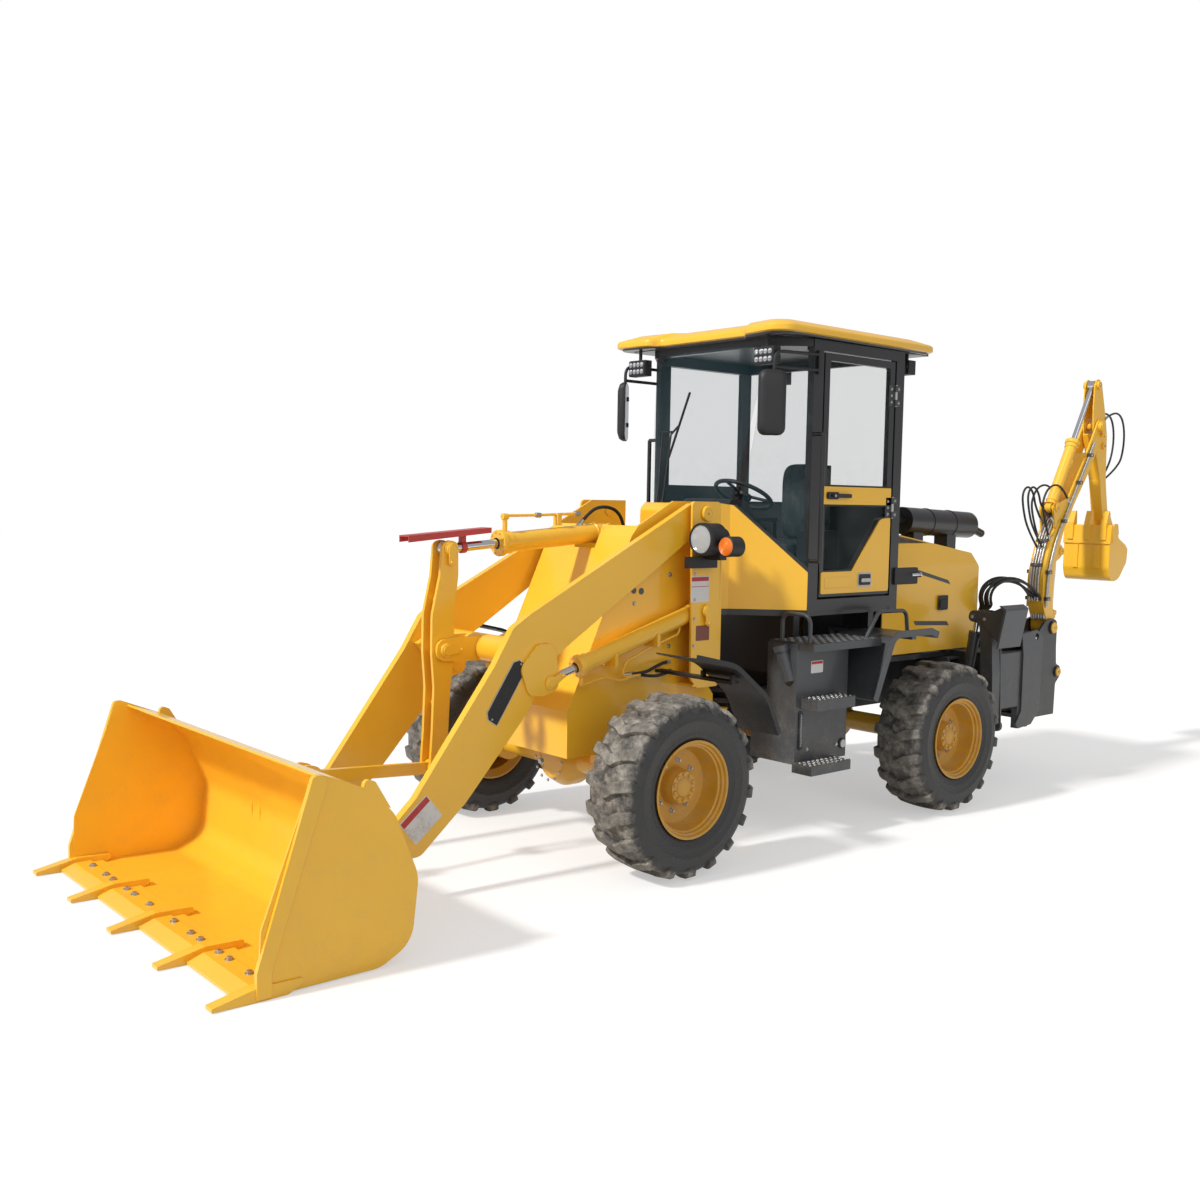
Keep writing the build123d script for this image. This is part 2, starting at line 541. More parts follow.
# ---- cab -----------------------------------------------------------------------------
CAB_REAR, CAB_FRONT = -2370, -880
SILL_Z, BELT_Z, HEAD_Z = 1518, 2130, 3150
PILLAR_X = -1400                        # front of the middle pillar
DOOR_X0, DOOR_X1 = PILLAR_X - 110, CAB_REAR + 98
SWEEP_X0, SWEEP_X1 = -1845, -2140       # where the lower windows' edge turns up to the rear
DOOR_HINGE, HINGE_Z = (DOOR_X1 + 5, CAB_Y + 9), (2900, 2130)
SIDE_X0, SIDE_X1 = PILLAR_X - 100, CAB_REAR + 90   # between the middle and rear pillars
FRAME_T = 50
GRAB_OUT = 80                           # grab rails stand this far off the cab's sides
SCREEN_LOW, SCREEN_TOP = (-1030, 385), (-1205, 532)


def cab_plan(inset):
    y = CAB_Y - inset
    return [(CAB_REAR + inset, y), (PILLAR_X, y), (SCREEN_LOW[0], SCREEN_LOW[1] - inset), (CAB_FRONT, 330 - inset),
            (CAB_FRONT, -330 + inset), (SCREEN_LOW[0], -SCREEN_LOW[1] + inset), (PILLAR_X, -y), (CAB_REAR + inset, -y)]


def cab_frame():
    body = plan(cab_plan(4), FLOOR_Z, FLOOR_Z + 40)
    inner = CAB_Y - FRAME_T
    body += both(block(PILLAR_X - 100, PILLAR_X, inner, CAB_Y, FLOOR_Z, HEAD_Z + 60))
    body += both(block(CAB_REAR, CAB_REAR + 90, inner, CAB_Y, FLOOR_Z, HEAD_Z + 60))
    body += both(block(CAB_REAR, PILLAR_X, inner - 10, CAB_Y, HEAD_Z - 10, HEAD_Z + 60))
    body += block(CAB_REAR, CAB_REAR + 40, -inner - 1, inner + 1, HEAD_Z - 10, HEAD_Z + 60)
    body += block(CAB_REAR, CAB_REAR + 30, -inner - 1, inner + 1, FLOOR_Z, 2160)
    hx, hz = HOOD_HINGE
    body += both(block(hx, CAB_REAR + 1, 392, 412, hz - 14, hz + 14) + pin(hx, hz, 345, 418, 8) + pin(hx, hz, 392, 412, 14))
    head = [(-1190, 540), (-1190, -540), (PILLAR_X + 4, -CAB_Y + 6), (PILLAR_X - 1, -inner + 10), (-1240, -490),
            (-1240, 490), (PILLAR_X - 1, inner - 10), (PILLAR_X + 4, CAB_Y - 6)]
    body += plan(head, HEAD_Z + 10, HEAD_Z + 60)
    body += plan([(CAB_REAR - 320, 710), (-1150, 710), (-1150, -710), (CAB_REAR - 320, -710)], HEAD_Z + 60, HEAD_Z + 78)
    seal = [(-1040, 2134), (-1060, 2134), (PILLAR_X - 1, 1727), (PILLAR_X - 1, 1700)]
    seal_plan = [(PILLAR_X - 1, CAB_Y), (PILLAR_X - 1, CAB_Y - 26), (-1030, 359), (-1030, 385)]
    body += both(side(seal, 300, CAB_Y) & plan(seal_plan, 1600, 2200))
    body += block(SIDE_X1 - 1, SIDE_X0 + 1, -CAB_Y + 10, -CAB_Y + 40, 2140, 2272)
    body += both(block(SIDE_X1 - 1, SIDE_X0 + 1, CAB_Y - 40, CAB_Y, FLOOR_Z + 30, SILL_Z))
    x, y = DOOR_HINGE
    for z in HINGE_Z:
        for low in (z - 40 - REST - 30, z + 40 + REST):
            body += rod((x, y, low), (x, y, low + 30), 9) + block(x - 70, x, CAB_Y - 1, CAB_Y + 6, low, low + 30)
    x, y, top, foot = PILLAR_X - 18, CAB_Y + GRAB_OUT, 2598, 1774
    for z in (top, foot):
        body += both(rod((x, CAB_Y - 4, z), (x, y, z), 13))
    body += both(rod((x, y, top), (x, y, foot), 15))
    return body


parts["cab_frame"] = cab_frame()


def cab_roof():
    corner = [(CAB_REAR - 375, 600, 60), (CAB_REAR - 305, 775, 60), (-1080, 812, 40), (-1000, 735, 40), (-1045, 450, 30),
              (-1120, 400, 30)]
    outline = corner + [(x, -y, r) for x, y, r in corner[::-1]]
    body = plan(outline, HEAD_Z + 78.5, HEAD_Z + 128)
    crown = [(CAB_REAR - 310, 560, 60), (CAB_REAR - 250, 690, 60), (-1220, 725, 60), (-1140, 640, 60)]
    body += plan(crown + [(x, -y, r) for x, y, r in crown[::-1]], HEAD_Z + 127, HEAD_Z + 178)
    return body


parts["cab_roof"] = cab_roof()


def cab_panels():
    """The yellow nose below the windscreen and the fixed lower panel on the right side."""
    t = 12
    shape = [(PILLAR_X, 1451), (PILLAR_X, 1699), (-1046, BELT_Z), (-960, 2142, 40), (-890, 2100, 40), (CAB_FRONT, 1451)]
    hollow = [(PILLAR_X - 9, 1440), (PILLAR_X - 9, 2200), (-1052, 2200), (-1052, BELT_Z - 14), (-966, 2128, 36),
              (-902, 2092, 30), (CAB_FRONT - t, 1440)]
    outer = side(shape, -CAB_Y - 40, CAB_Y + 40) & plan(cab_plan(0), 1400, 2200)
    body = outer - (side(hollow, -CAB_Y - 40, CAB_Y + 40) & plan(cab_plan(t), 1400, 2200))
    lower = [(SIDE_X0, SILL_Z), (SIDE_X0, 1700), (SWEEP_X0, 1707, 60), (SWEEP_X1, 2043, 40), (SIDE_X1, 2030), (SIDE_X1, SILL_Z)]
    return body + side(lower, -CAB_Y + 2, -CAB_Y + 34) - parts["cab_frame"]


parts["cab_panels"] = cab_panels()


def cab_glass():
    t, inner = 6, CAB_Y - FRAME_T
    low, top = 2144, HEAD_Z + 16
    (lx, ly), (tx, ty) = SCREEN_LOW, SCREEN_TOP
    bulge = 70
    sections = []
    for z, x, y in ((low, lx, ly - 2), (top, tx, ty - 2)):
        sections.append(Plane(origin=(0, 0, z)) * make_face([
            ThreePointArc((x, y), (x + bulge, 0), (x, -y)), Line((x, -y), (x - t, -y)),
            ThreePointArc((x - t, -y), (x + bulge - t, 0), (x - t, y)), Line((x - t, y), (x, y))]))
    body = loft(sections)
    panes = []
    for z, x, y in ((1690, lx - 14, ly - 3), (top, tx - 14, ty - 3)):
        panes.append(Plane(origin=(0, 0, z)) * face([(x, y), (PILLAR_X + 2, CAB_Y - 14), (PILLAR_X + 2, CAB_Y - 20), (x, y - 7)]))
    pane = loft(panes)
    below = side([(-1600, 1600), (-1600, 1800), (PILLAR_X, 1729), (-1060, 2136), (-1000, 2136), (-900, 1600)], 200, CAB_Y + 40)
    body += both(pane - below)
    body += block(CAB_REAR + 12, CAB_REAR + 18, -inner, inner, 2160, HEAD_Z - 10)
    body += block(SIDE_X1, SIDE_X0, -CAB_Y + 20, -CAB_Y + 26, 2272, HEAD_Z - 10)
    window = [(SIDE_X0, 1690), (SIDE_X0, 2140), (SIDE_X1, 2140), (SIDE_X1, 2020), (SWEEP_X1, 2030), (SWEEP_X0, 1690)]
    return body + side(window, -CAB_Y + 20, -CAB_Y + 26) - parts["cab_frame"] - parts["cab_panels"]


parts["cab_glass"] = cab_glass()


DOOR_EDGE0, DOOR_EDGE1 = DOOR_X0 - GAP, DOOR_X1 + GAP
DOOR_PANES = (
    [(DOOR_EDGE0 - 52, 2272, 14), (DOOR_EDGE0 - 52, HEAD_Z - 66, 14), (DOOR_EDGE1 + 52, HEAD_Z - 66, 14),
     (DOOR_EDGE1 + 52, 2272, 14)],
    [(DOOR_EDGE0 - 40, 1706, 10), (DOOR_EDGE0 - 40, 2134, 10), (DOOR_EDGE1 + 46, 2134, 10),
     (DOOR_EDGE1 + 46, 2068, 30), (SWEEP_X1 + 8, 2052, 60), (SWEEP_X0 + 1, 1708, 60)],
)


def cab_door():
    y0, y1 = CAB_Y - 38, CAB_Y - 2
    body = block(DOOR_EDGE1, DOOR_EDGE0, y0, y1, 1532, HEAD_Z - 18)
    for outline in DOOR_PANES:
        body -= side(outline, y0 - 1, y1 + 1)
    body += block(DOOR_EDGE0 - 120, DOOR_EDGE0 - 44, y1 - 1, y1 + 26, 2190, 2222)
    x, y = DOOR_HINGE
    for z in HINGE_Z:
        body += rod((x, y, z - 40), (x, y, z + 40), 9) + block(x, x + 60, CAB_Y - 3, CAB_Y + 6, z - 40, z + 40)
    return body


parts["cab_door"] = cab_door()


def door_glass():
    y = CAB_Y - 20
    return side(DOOR_PANES[0], y, y + 6) + side(DOOR_PANES[1], y, y + 6)


parts["door_glass"] = door_glass()


def seat():
    x, y = -2000, 0
    body = block(x - 230, x + 230, y - 220, y + 220, 1740, 1860) + block(x - 300, x - 190, y - 215, y + 215, 1850, 2330)
    body += block(x - 150, x + 150, y - 150, y + 150, 1450, 1741)
    return fillet(body.edges().filter_by(Axis.Y).group_by(Axis.Z)[-1], 30)


parts["operator_seat"] = seat()


def console():
    """Dash, steering column and wheel, and the side levers."""
    base = side([(-1480, 1451), (-1500, 1900), (-1380, 2150, 80), (-1200, 2180, 80), (-1120, 2050, 60), (-1120, 1451)], -230, 230)
    hub = (-1560, 0, 2190)
    body = base + rod((-1440, 0, 2060), hub, 28) + rod((-1560, 0, 2185), (-1571, 0, 2206), 60)
    tilt = Plane(origin=(-1566, 0, 2204), z_dir=(-0.46, 0, 0.89))
    ring = tilt * (Torus(205, 15))
    body += ring
    for turn in (0, 120, 240):
        a = radians(turn)
        tip = tilt.from_local_coords((205 * cos(a), 205 * sin(a), 0))
        body += rod(tuple(tip), (-1566, 0, 2200), 11)
    body += both(block(-2150, -1800, 300, 380, 1451, 1960))
    for y, lean in ((330, 40), (350, -20), (-340, 30)):
        body += rod((-1900, y, 1950), (-1900 + lean, y, 2120), 9) + rod((-1900 + lean, y, 2110), (-1900 + lean * 1.2, y, 2165), 19)
    return body


parts["driver_console"] = console()


MIRROR = (-1061, 686, 2782)


def mirrors():
    """Mirrors on tube brackets from the middle pillars."""
    x, y, z = MIRROR
    start = (PILLAR_X - 40, CAB_Y + 8)
    body = rod((*start, 3110), (x, y + 14, 3105), 11) + rod((*start, 3010), (x, y + 14, 3005), 11)
    body += rod((x, y + 14, 3116), (x, y + 14, z), 11) + block(x - 25, x + 25, y - 88, y + 88, z - 207, z + 207)
    return both(body) - parts["cab_frame"]


parts["mirrors"] = mirrors()


def work_lamps():
    """Work lamps hung from the roof: two to the front and two to the rear."""
    roof = HEAD_Z + 78.5
    body = block(-1139, -1079, 516, 686, 3030, 3140) + rod((-1109, 601, 3139), (-1109, 601, roof), 12)
    body += block(-2640, -2560, 520, 640, 3080, 3180) + block(-2610, -2590, 560, 600, 3178, HEAD_Z + 60)
    return both(body)


parts["work_lamps"] = work_lamps()


TANK_X0, TANK_X1 = -1700, -1180
TANK_IN, TANK_OUT = 480, 860            # the tank's sides below the cab's mounts
PLATFORM_Z, PLATFORM_OUT = 1262, 985
STEPS = [  # front, rear, outer side, top and depth of each step below the platform
    (-1225, -1610, 1000, 900, 68),
    (-1160, -1555, 1020, 488, 62),
]
TRAY_T = 8                              # thickness of the turned-down edges


def tray(x0, x1, y0, y1, top, deep):
    """A step or platform: a plate with its front, rear and outer edges turned down."""
    body = block(x1, x0, y0, y1, top - 14, top) + block(x1, x0, y1 - TRAY_T, y1, top - deep, top)
    for x in (x0 - TRAY_T, x1):
        body += block(x, x + TRAY_T, y0, y1, top - deep, top)
    return body


def tube_along(points, place):
    """A rail's round tube along an open path drawn in the plane at place."""
    path = place * Wire(corner_path(points, closed=False))
    return sweep(Plane(origin=path @ 0, z_dir=path % 0) * Circle(14), path=path)


def steps():
    """Fuel and oil tank with steps on each side, platform, filler and rails."""
    body = block(TANK_X0, TANK_X1, TANK_IN, TANK_OUT, 470, 930)
    body += block(TANK_X0, TANK_X1, 612, TANK_OUT, 929, PLATFORM_Z - 13)
    body += tray(-1196, -1888, 612, PLATFORM_OUT, PLATFORM_Z, 50)
    for x0, x1, y, top, deep in STEPS:
        body += tray(x0, x1, TANK_OUT - 1, y, top, deep)
    body += rod((-1190, 800, 1010), (-1152, 750, 1216), 42) + rod((-1155, 754, 1200), (-1148, 745, 1236), 50)
    body += block(-1680, -1600, 280, TANK_IN + 5, 650, 680)
    body += tube_along([(700, PLATFORM_Z - 5), (700, 1440, 60), (930, 1440, 60), (930, PLATFORM_Z - 5)],
                       Plane(origin=(-1217, 0, 0), x_dir=(0, 1, 0), z_dir=(1, 0, 0)))
    body += tube_along([(-1830, PLATFORM_Z - 5), (-1960, 1430, 60), (-2270, 1425, 60), (-2290, 1277)],
                       Plane(origin=(0, 900, 0), x_dir=(1, 0, 0), z_dir=(0, -1, 0)))
    return both(body)


parts["tanks_and_steps"] = steps()


def rear_fenders():
    """Bent fenders ahead of and over the rear wheels."""
    path = [(-1765, 858), (-1945, 1272, 90), (-2350, 1274, 60), (-2430, 1246)]
    sheet = side(strip(path, 9), 560, 1060)
    lip = side(strip(path, -38), 1051, 1060)
    bracket = block(-2200, -2150, 321, 1040, 1241, 1268) + block(-2200, -2150, 321, 340, RAIL_TOP, 1250)
    return both(sheet + lip + bracket)


parts["rear_fenders"] = rear_fenders()

# ---- backhoe frame and stabilisers ---------------------------------------------------
FRAME_FRONT, RAIL_FRONT, RAIL_BACK = FRAME_END - 16, -4030, -4110
FRAME_LOW, FRAME_HIGH = 600, 1030
LEG_X = -3380
LEG_PIVOT = (900, 500)                  # y, z of the left leg
LEG_EYE = (761, 1321)
PAD_PIN = (868, 1310)
LEG_CYL = (650, 660)
FORK_IN, FORK_OUT = 50, 63              # the leg's two plates, either side of its cylinder


def backhoe_frame():
    y_in, y_out = 640, RAIL_Y - 16
    body = block(FRAME_FRONT, FRAME_END, -y_in, y_in, FRAME_LOW, FRAME_HIGH)
    body += block(RAIL_FRONT, FRAME_END, -y_in, y_in, FRAME_HIGH - 14, FRAME_HIGH)
    body += block(RAIL_FRONT, FRAME_END, -y_in, y_in, FRAME_LOW, FRAME_LOW + 14)
    side_box = block(-3935, FRAME_FRONT - 54, y_in - 1, y_out + 1, FRAME_LOW, FRAME_HIGH - 4)
    end_plate = [(-3840, 1165, 20), (-3870, 1010), (-3870, 560), (-3800, 470), (-3830, 425, 10), (-4020, 440, 20),
                 (-4135, 545, 20), (-4150, 1125, 40), (-4060, 1190, 20)]
    body += both(side_box + side(end_plate, y_out, RAIL_Y))
    body += both(block(-3870, -3835, y_out - 50, y_out + 1, 424, 620) + block(-3990, -3955, y_out - 50, y_out + 1, 424, 620))
    body += block(RAIL_BACK, RAIL_FRONT, -y_out - 1, y_out + 1, 950, FRAME_HIGH)
    body += block(RAIL_BACK, RAIL_FRONT, -y_out - 1, y_out + 1, 500, 580)
    body += both(block(RAIL_FRONT - 1, -3925, y_in, y_out, 500, 520) + block(RAIL_FRONT - 1, -3925, y_in, y_out, FRAME_LOW, FRAME_HIGH - 4))
    ear = [(320, 640), (320, 985), (560, 985), (690, 760, 40), (860, 556, 20), (955, 530, 50), (950, 455, 50), (850, 450, 40)]
    for x in (LEG_X + FORK_OUT + GAP, LEG_X - FORK_OUT - GAP - 14):
        body += both(cross(ear, x, x + 14))
    body += both(block(FRAME_END - 2, LEG_X + FORK_OUT + GAP + 14, 320, 560, 971, 985))
    span = FORK_OUT + GAP + 16
    for y, z, r in ((*LEG_PIVOT, 24), (*LEG_CYL, 20)):
        inner = FORK_IN if r == 24 else 0
        if inner:
            stub = rod((LEG_X + FORK_IN - 2, y, z), (LEG_X + span, y, z), r) + rod((LEG_X - FORK_IN + 2, y, z), (LEG_X - span, y, z), r)
            body += both(stub)
        else:
            body += both(rod((LEG_X - span, y, z), (LEG_X + span, y, z), r))
    for y in (1, -1):
        body -= pin(-4060, 1135, y * (y_out - 10), y * (RAIL_Y + 10), 26)
    return body


parts["backhoe_frame"] = backhoe_frame()


def leg():
    """The left stabiliser leg, a fork of two plates closed on its outer side, with its pad."""
    (py, pz), (ey, ez), (by, bz) = LEG_PIVOT, LEG_EYE, PAD_PIN
    outline = [(py - 50, pz, 50), (py - 30, pz - 50, 50), (py + 55, pz - 40, 50), (py + 40, 900, 200), (by + 50, bz - 10, 40),
               (by + 46, bz + 52, 46), (by - 30, bz + 60, 40), (ey - 30, ez + 46, 40), (ey - 52, ez - 30, 40),
               (ey + 50, ez - 50, 30), (py - 70, 1100, 60)]
    plate = cross(outline, LEG_X + FORK_IN, LEG_X + FORK_OUT)
    body = plate + mirror(plate, about=Plane(origin=(LEG_X, 0, 0), z_dir=(1, 0, 0)))
    web = [(py + 44, 560), (py + 38, 900), (by + 46, 1220), (by + 34, 1220), (py + 26, 900), (py + 32, 560)]
    body += cross(web, LEG_X - FORK_IN - 1, LEG_X + FORK_IN + 1)
    body += rod((LEG_X - FORK_OUT - 12, by, bz), (LEG_X + FORK_OUT + 12, by, bz), 20)
    for hand in (1, -1):
        body += rod((LEG_X + hand * (40 + REST), ey, ez), (LEG_X + hand * (FORK_OUT + 8), ey, ez), 30)
    body -= rod((LEG_X - 80, py, pz), (LEG_X + 80, py, pz), 24 + FIT)
    pad = [(by + 150, 1108), (by + 165, 1108), (by + 222, 1400, 20), (by + 170, 1432, 20), (by + 160, 1420), (by + 205, 1390)]
    body += cross(pad, LEG_X - 150, LEG_X + 150)
    rib = [(by - 26, bz + 10, 26), (by + 10, bz + 34, 26), (by + 176, 1425), (by + 206, 1385), (by + 158, 1120), (by + 140, 1120, 20),
           (by - 10, bz - 30, 26)]
    for x in (LEG_X - FORK_OUT - 24, LEG_X + FORK_OUT + 12):
        body += cross(rib, x, x + 12)
    return body


left_leg = leg()
parts["leg_left"] = left_leg
parts["leg_right"] = mirror(left_leg, about=Plane.XZ)


def leg_cylinder():
    (by, bz), (ey, ez) = LEG_CYL, LEG_EYE
    length = hypot(ey - by, ez - bz)
    at = lambda d: (LEG_X, by + (ey - by) * d / length, bz + (ez - bz) * d / length)
    tube = rod(at(26), at(548), 42) + rod(at(500), at(548), 46)
    tube += rod((LEG_X - 44, by, bz), (LEG_X + 44, by, bz), 40)
    tube -= rod(at(60), at(600), 22) + rod((LEG_X - 60, by, bz), (LEG_X + 60, by, bz), 20 + FIT)
    bar = rod(at(70), at(length - 6), 21) + rod((LEG_X - 40, ey, ez), (LEG_X + 40, ey, ez), 34)
    bar -= rod((LEG_X - 60, ey, ez), (LEG_X + 60, ey, ez), 20)
    return tube, bar


tube, bar = leg_cylinder()
parts["leg_barrel_left"], parts["leg_rod_left"] = tube, bar
parts["leg_barrel_right"], parts["leg_rod_right"] = mirror(tube, about=Plane.XZ), mirror(bar, about=Plane.XZ)

# ---- digger --------------------------------------------------------------------------
SWING_X = -4300
SWING_ARM = 120                         # swing rods stand this far either side of the hinge
SWING_Z = 1085
SWING_BASE = -3870
SWING_GLAND = -4126
BOOM_FOOT = (-4620, 1160)
BOOM_BASE = (-4715, 785)
BOOM_EYE = (-4765, 1790)
STICK_BASE = (-4660, 2150)
STICK_EYE = (-5270, 3200)
STICK_PIVOT = (-5300, 2850)
BUCKET_PIN = (-5545, 1880)
ROCKER_PIN = (-5499, 2100)
ROCKER_R = 130                          # rocker arm, and the bucket's own second pin
ROCKER_EYE = (-5571, 1991)
LINK_EYE = (-5617, 1771)
SCOOP_BASE = (-5400, 2690)
POST_IN, BOOM_HALF, STICK_HALF = 78, 70, 50


def hoe(points, low, high):
    """An outline in the digger's own plane, low to high measured from its middle."""
    return side(points, HOE_Y + low, HOE_Y + high)


def hoe_both(points, low, high):
    return hoe(points, low, high) + hoe(points, -high, -low)


def hoe_pin(p, low, high, r):
    return pin(p[0], p[1], HOE_Y + low, HOE_Y + high, r)


def carriage():
    """The slide that carries the digger along the frame's two rails, with its swing cylinders."""
    y0, y1 = HOE_Y - 225, HOE_Y + 225
    back = RAIL_BACK - GAP
    body = block(back - 28, back, y0, y1, 470, 1062)
    for y in (y0 + 20, y1 - 100):
        for z in (510, 960):
            body += block(back - 1, RAIL_BACK - REST, y, y + 80, z, z + 60)
    for low, high in ((FRAME_HIGH + REST, FRAME_HIGH + 27), (473, 500 - REST)):
        body += block(back - 28, RAIL_FRONT + 26, y0, y1, low, high)
    arm = [(back - 28, 100), (back - 28, 190), (-3800, 170), (-3800, 80)]
    for hand in (1, -1):
        body += plan([(x, HOE_Y + hand * y) for x, y in arm], FRAME_HIGH + 6, FRAME_HIGH + 22)
        y = HOE_Y + hand * SWING_ARM
        tube = rod((SWING_BASE, y, SWING_Z), (SWING_GLAND, y, SWING_Z), 31)
        tube += rod((SWING_GLAND + 32, y, SWING_Z), (SWING_GLAND, y, SWING_Z), 34)
        tube += block(SWING_BASE - 8, SWING_BASE + 30, y - 30, y + 30, FRAME_HIGH + 20, SWING_Z + 26)
        tube += block(-4110, -4070, y - 24, y + 24, FRAME_HIGH + 20, SWING_Z)
        body += tube - rod((SWING_BASE - 4, y, SWING_Z), (-4200, y, SWING_Z), 17)
    ear = [(back - 20, HOE_Y - 130), (SWING_X, HOE_Y - 62, 60), (SWING_X - 62, HOE_Y, 60), (SWING_X, HOE_Y + 62, 60),
           (back - 20, HOE_Y + 130)]
    for low, high in ((510, 540), (620, 650), (896, 926), (1010, 1040)):
        body += plan(ear, low, high)
    body -= rod((SWING_X, HOE_Y, 400), (SWING_X, HOE_Y, 1200), 34)
    return body + rod((SWING_X, HOE_Y, 504), (SWING_X, HOE_Y, 656), 34) + rod((SWING_X, HOE_Y, 890), (SWING_X, HOE_Y, 1046), 34)


parts["hoe_carriage"] = carriage()


def swing_post():
    plate = [(-4400, 432), (-4400, 1130), (-4500, 1215, 60), (-4600, 1240, 60), (-4690, 1215, 50), (-4688, 1000, 30),
             (-4700, 850, 30), (-4768, 830, 40), (-4768, 745, 40), (-4700, 690, 40), (-4690, 432)]
    body = hoe_both(plate, POST_IN, POST_IN + 20)
    body += hoe([(-4400, 432), (-4400, 1120), (-4420, 1100), (-4420, 432)], -POST_IN - 1, POST_IN + 1)
    body += hoe([(-4400, 432), (-4400, 452), (-4690, 452), (-4690, 432)], -POST_IN - 18, POST_IN + 18)
    for low, high in ((546, 614), (932, 1004)):
        body += plan([(-4410, HOE_Y - 80), (-4410, HOE_Y + 80), (SWING_X, HOE_Y + 56, 50), (SWING_X + 58, HOE_Y, 50),
                      (SWING_X, HOE_Y - 56, 50)], low, high)
    body -= rod((SWING_X, HOE_Y, 400), (SWING_X, HOE_Y, 1200), 34 + FIT)
    tee = [(-4402, HOE_Y - 90), (-4402, HOE_Y + 90), (SWING_X - 26, HOE_Y + SWING_ARM + 26, 24),
           (SWING_X + 26, HOE_Y + SWING_ARM + 26, 24), (SWING_X + 26, HOE_Y + SWING_ARM - 40, 24), (SWING_X + 8, HOE_Y, 80),
           (SWING_X + 26, HOE_Y - SWING_ARM + 40, 24), (SWING_X + 26, HOE_Y - SWING_ARM - 26, 24),
           (SWING_X - 26, HOE_Y - SWING_ARM - 26, 24)]
    for low, high in ((SWING_Z - 28, SWING_Z - 17), (SWING_Z + 17, SWING_Z + 28)):
        body += plan(tee, low, high)
    for p, r in ((BOOM_FOOT, 34), (BOOM_BASE, 24)):
        body += hoe_pin(p, -POST_IN - 34, POST_IN + 34, r)
        body += hoe_pin(p, POST_IN + 18, POST_IN + 30, r + 22) + hoe_pin(p, -POST_IN - 30, -POST_IN - 18, r + 22)
    return body


parts["swing_post"] = swing_post()
for name, hand in (("swing_rod_left", 1), ("swing_rod_right", -1)):
    y = HOE_Y + hand * SWING_ARM
    shape = rod((-3994, y, SWING_Z), (SWING_X, y, SWING_Z), 16)
    shape += rod((SWING_X, y, SWING_Z - 17 + REST), (SWING_X, y, SWING_Z + 17 - REST), 28)
    parts[name] = shape - rod((SWING_X, y, SWING_Z - 30), (SWING_X, y, SWING_Z + 30), 15)


HOE_CYLINDERS = [  # name, base, eye, gland and rod's inner end from base, tube r, rod r, lug r, pin r, half lug
    ("boom", BOOM_BASE, BOOM_EYE, 506, 468, 40, 22, 38, 24, 26),
    ("stick", STICK_BASE, STICK_EYE, 650, 540, 46, 22, 40, 24, 26),
    ("scoop", SCOOP_BASE, ROCKER_EYE, 419, 330, 30, 17, 27, 18, 20),
]
EYE_HALF = {name: half for name, *_, half in HOE_CYLINDERS}
for name, base, eye, gland, inside, r, rod_r, lug, pin_r, half in HOE_CYLINDERS:
    parts[f"{name}_barrel"] = barrel_xz(base, eye, gland, HOE_Y, r, rod_r + FIT, lug, pin_r + FIT, half)
    parts[f"{name}_rod"] = rod_xz(base, eye, inside, HOE_Y, rod_r, lug, pin_r, half)


def boom():
    front = [(-4570, 1110, 50), (-4560, 1230, 80), (-4490, 1370, 150), (-4484, 1600, 300), (-4590, 1900, 300),
             (-4760, 2140, 200), (-5060, 2560, 100), (-5224, 2818, 66), (-5276, 2920, 60)]
    rear = [(-5372, 2896, 60), (-5350, 2780, 66), (-5160, 2480, 200), (-4930, 2190, 300), (-4770, 1950, 300),
            (-4668, 1700, 300), (-4650, 1400, 200), (-4680, 1190, 50), (-4660, 1110, 50)]
    body = hoe(front + rear, -BOOM_HALF, BOOM_HALF)
    room = [(-5075, 2560), (-5245, 2990), (-5460, 2990), (-5440, 2640), (-5180, 2470)]
    body -= hoe(room, -STICK_HALF - GAP, STICK_HALF + GAP)
    lug = [(-4660, 1690), (-4760, 1735, 40), (-4812, 1790, 44), (-4770, 1842, 44), (-4700, 1860)]
    body += hoe_both(lug, 44, 60)
    reach = EYE_HALF["boom"] + REST
    body += hoe_pin(BOOM_EYE, reach, 66, 24) + hoe_pin(BOOM_EYE, -66, -reach, 24)
    bracket = [(-4640, 1980), (-4606, 2130, 50), (-4640, 2206, 50), (-4714, 2190, 50), (-4830, 2230)]
    body += hoe_both(bracket, 52, 68)
    body -= hoe_pin(BOOM_FOOT, -90, 90, 34 + FIT)
    body += hoe_pin(STICK_BASE, -72, 72, 24) + hoe_pin(STICK_PIVOT, -88, 88, 30)
    return body


parts["hoe_boom"] = boom()


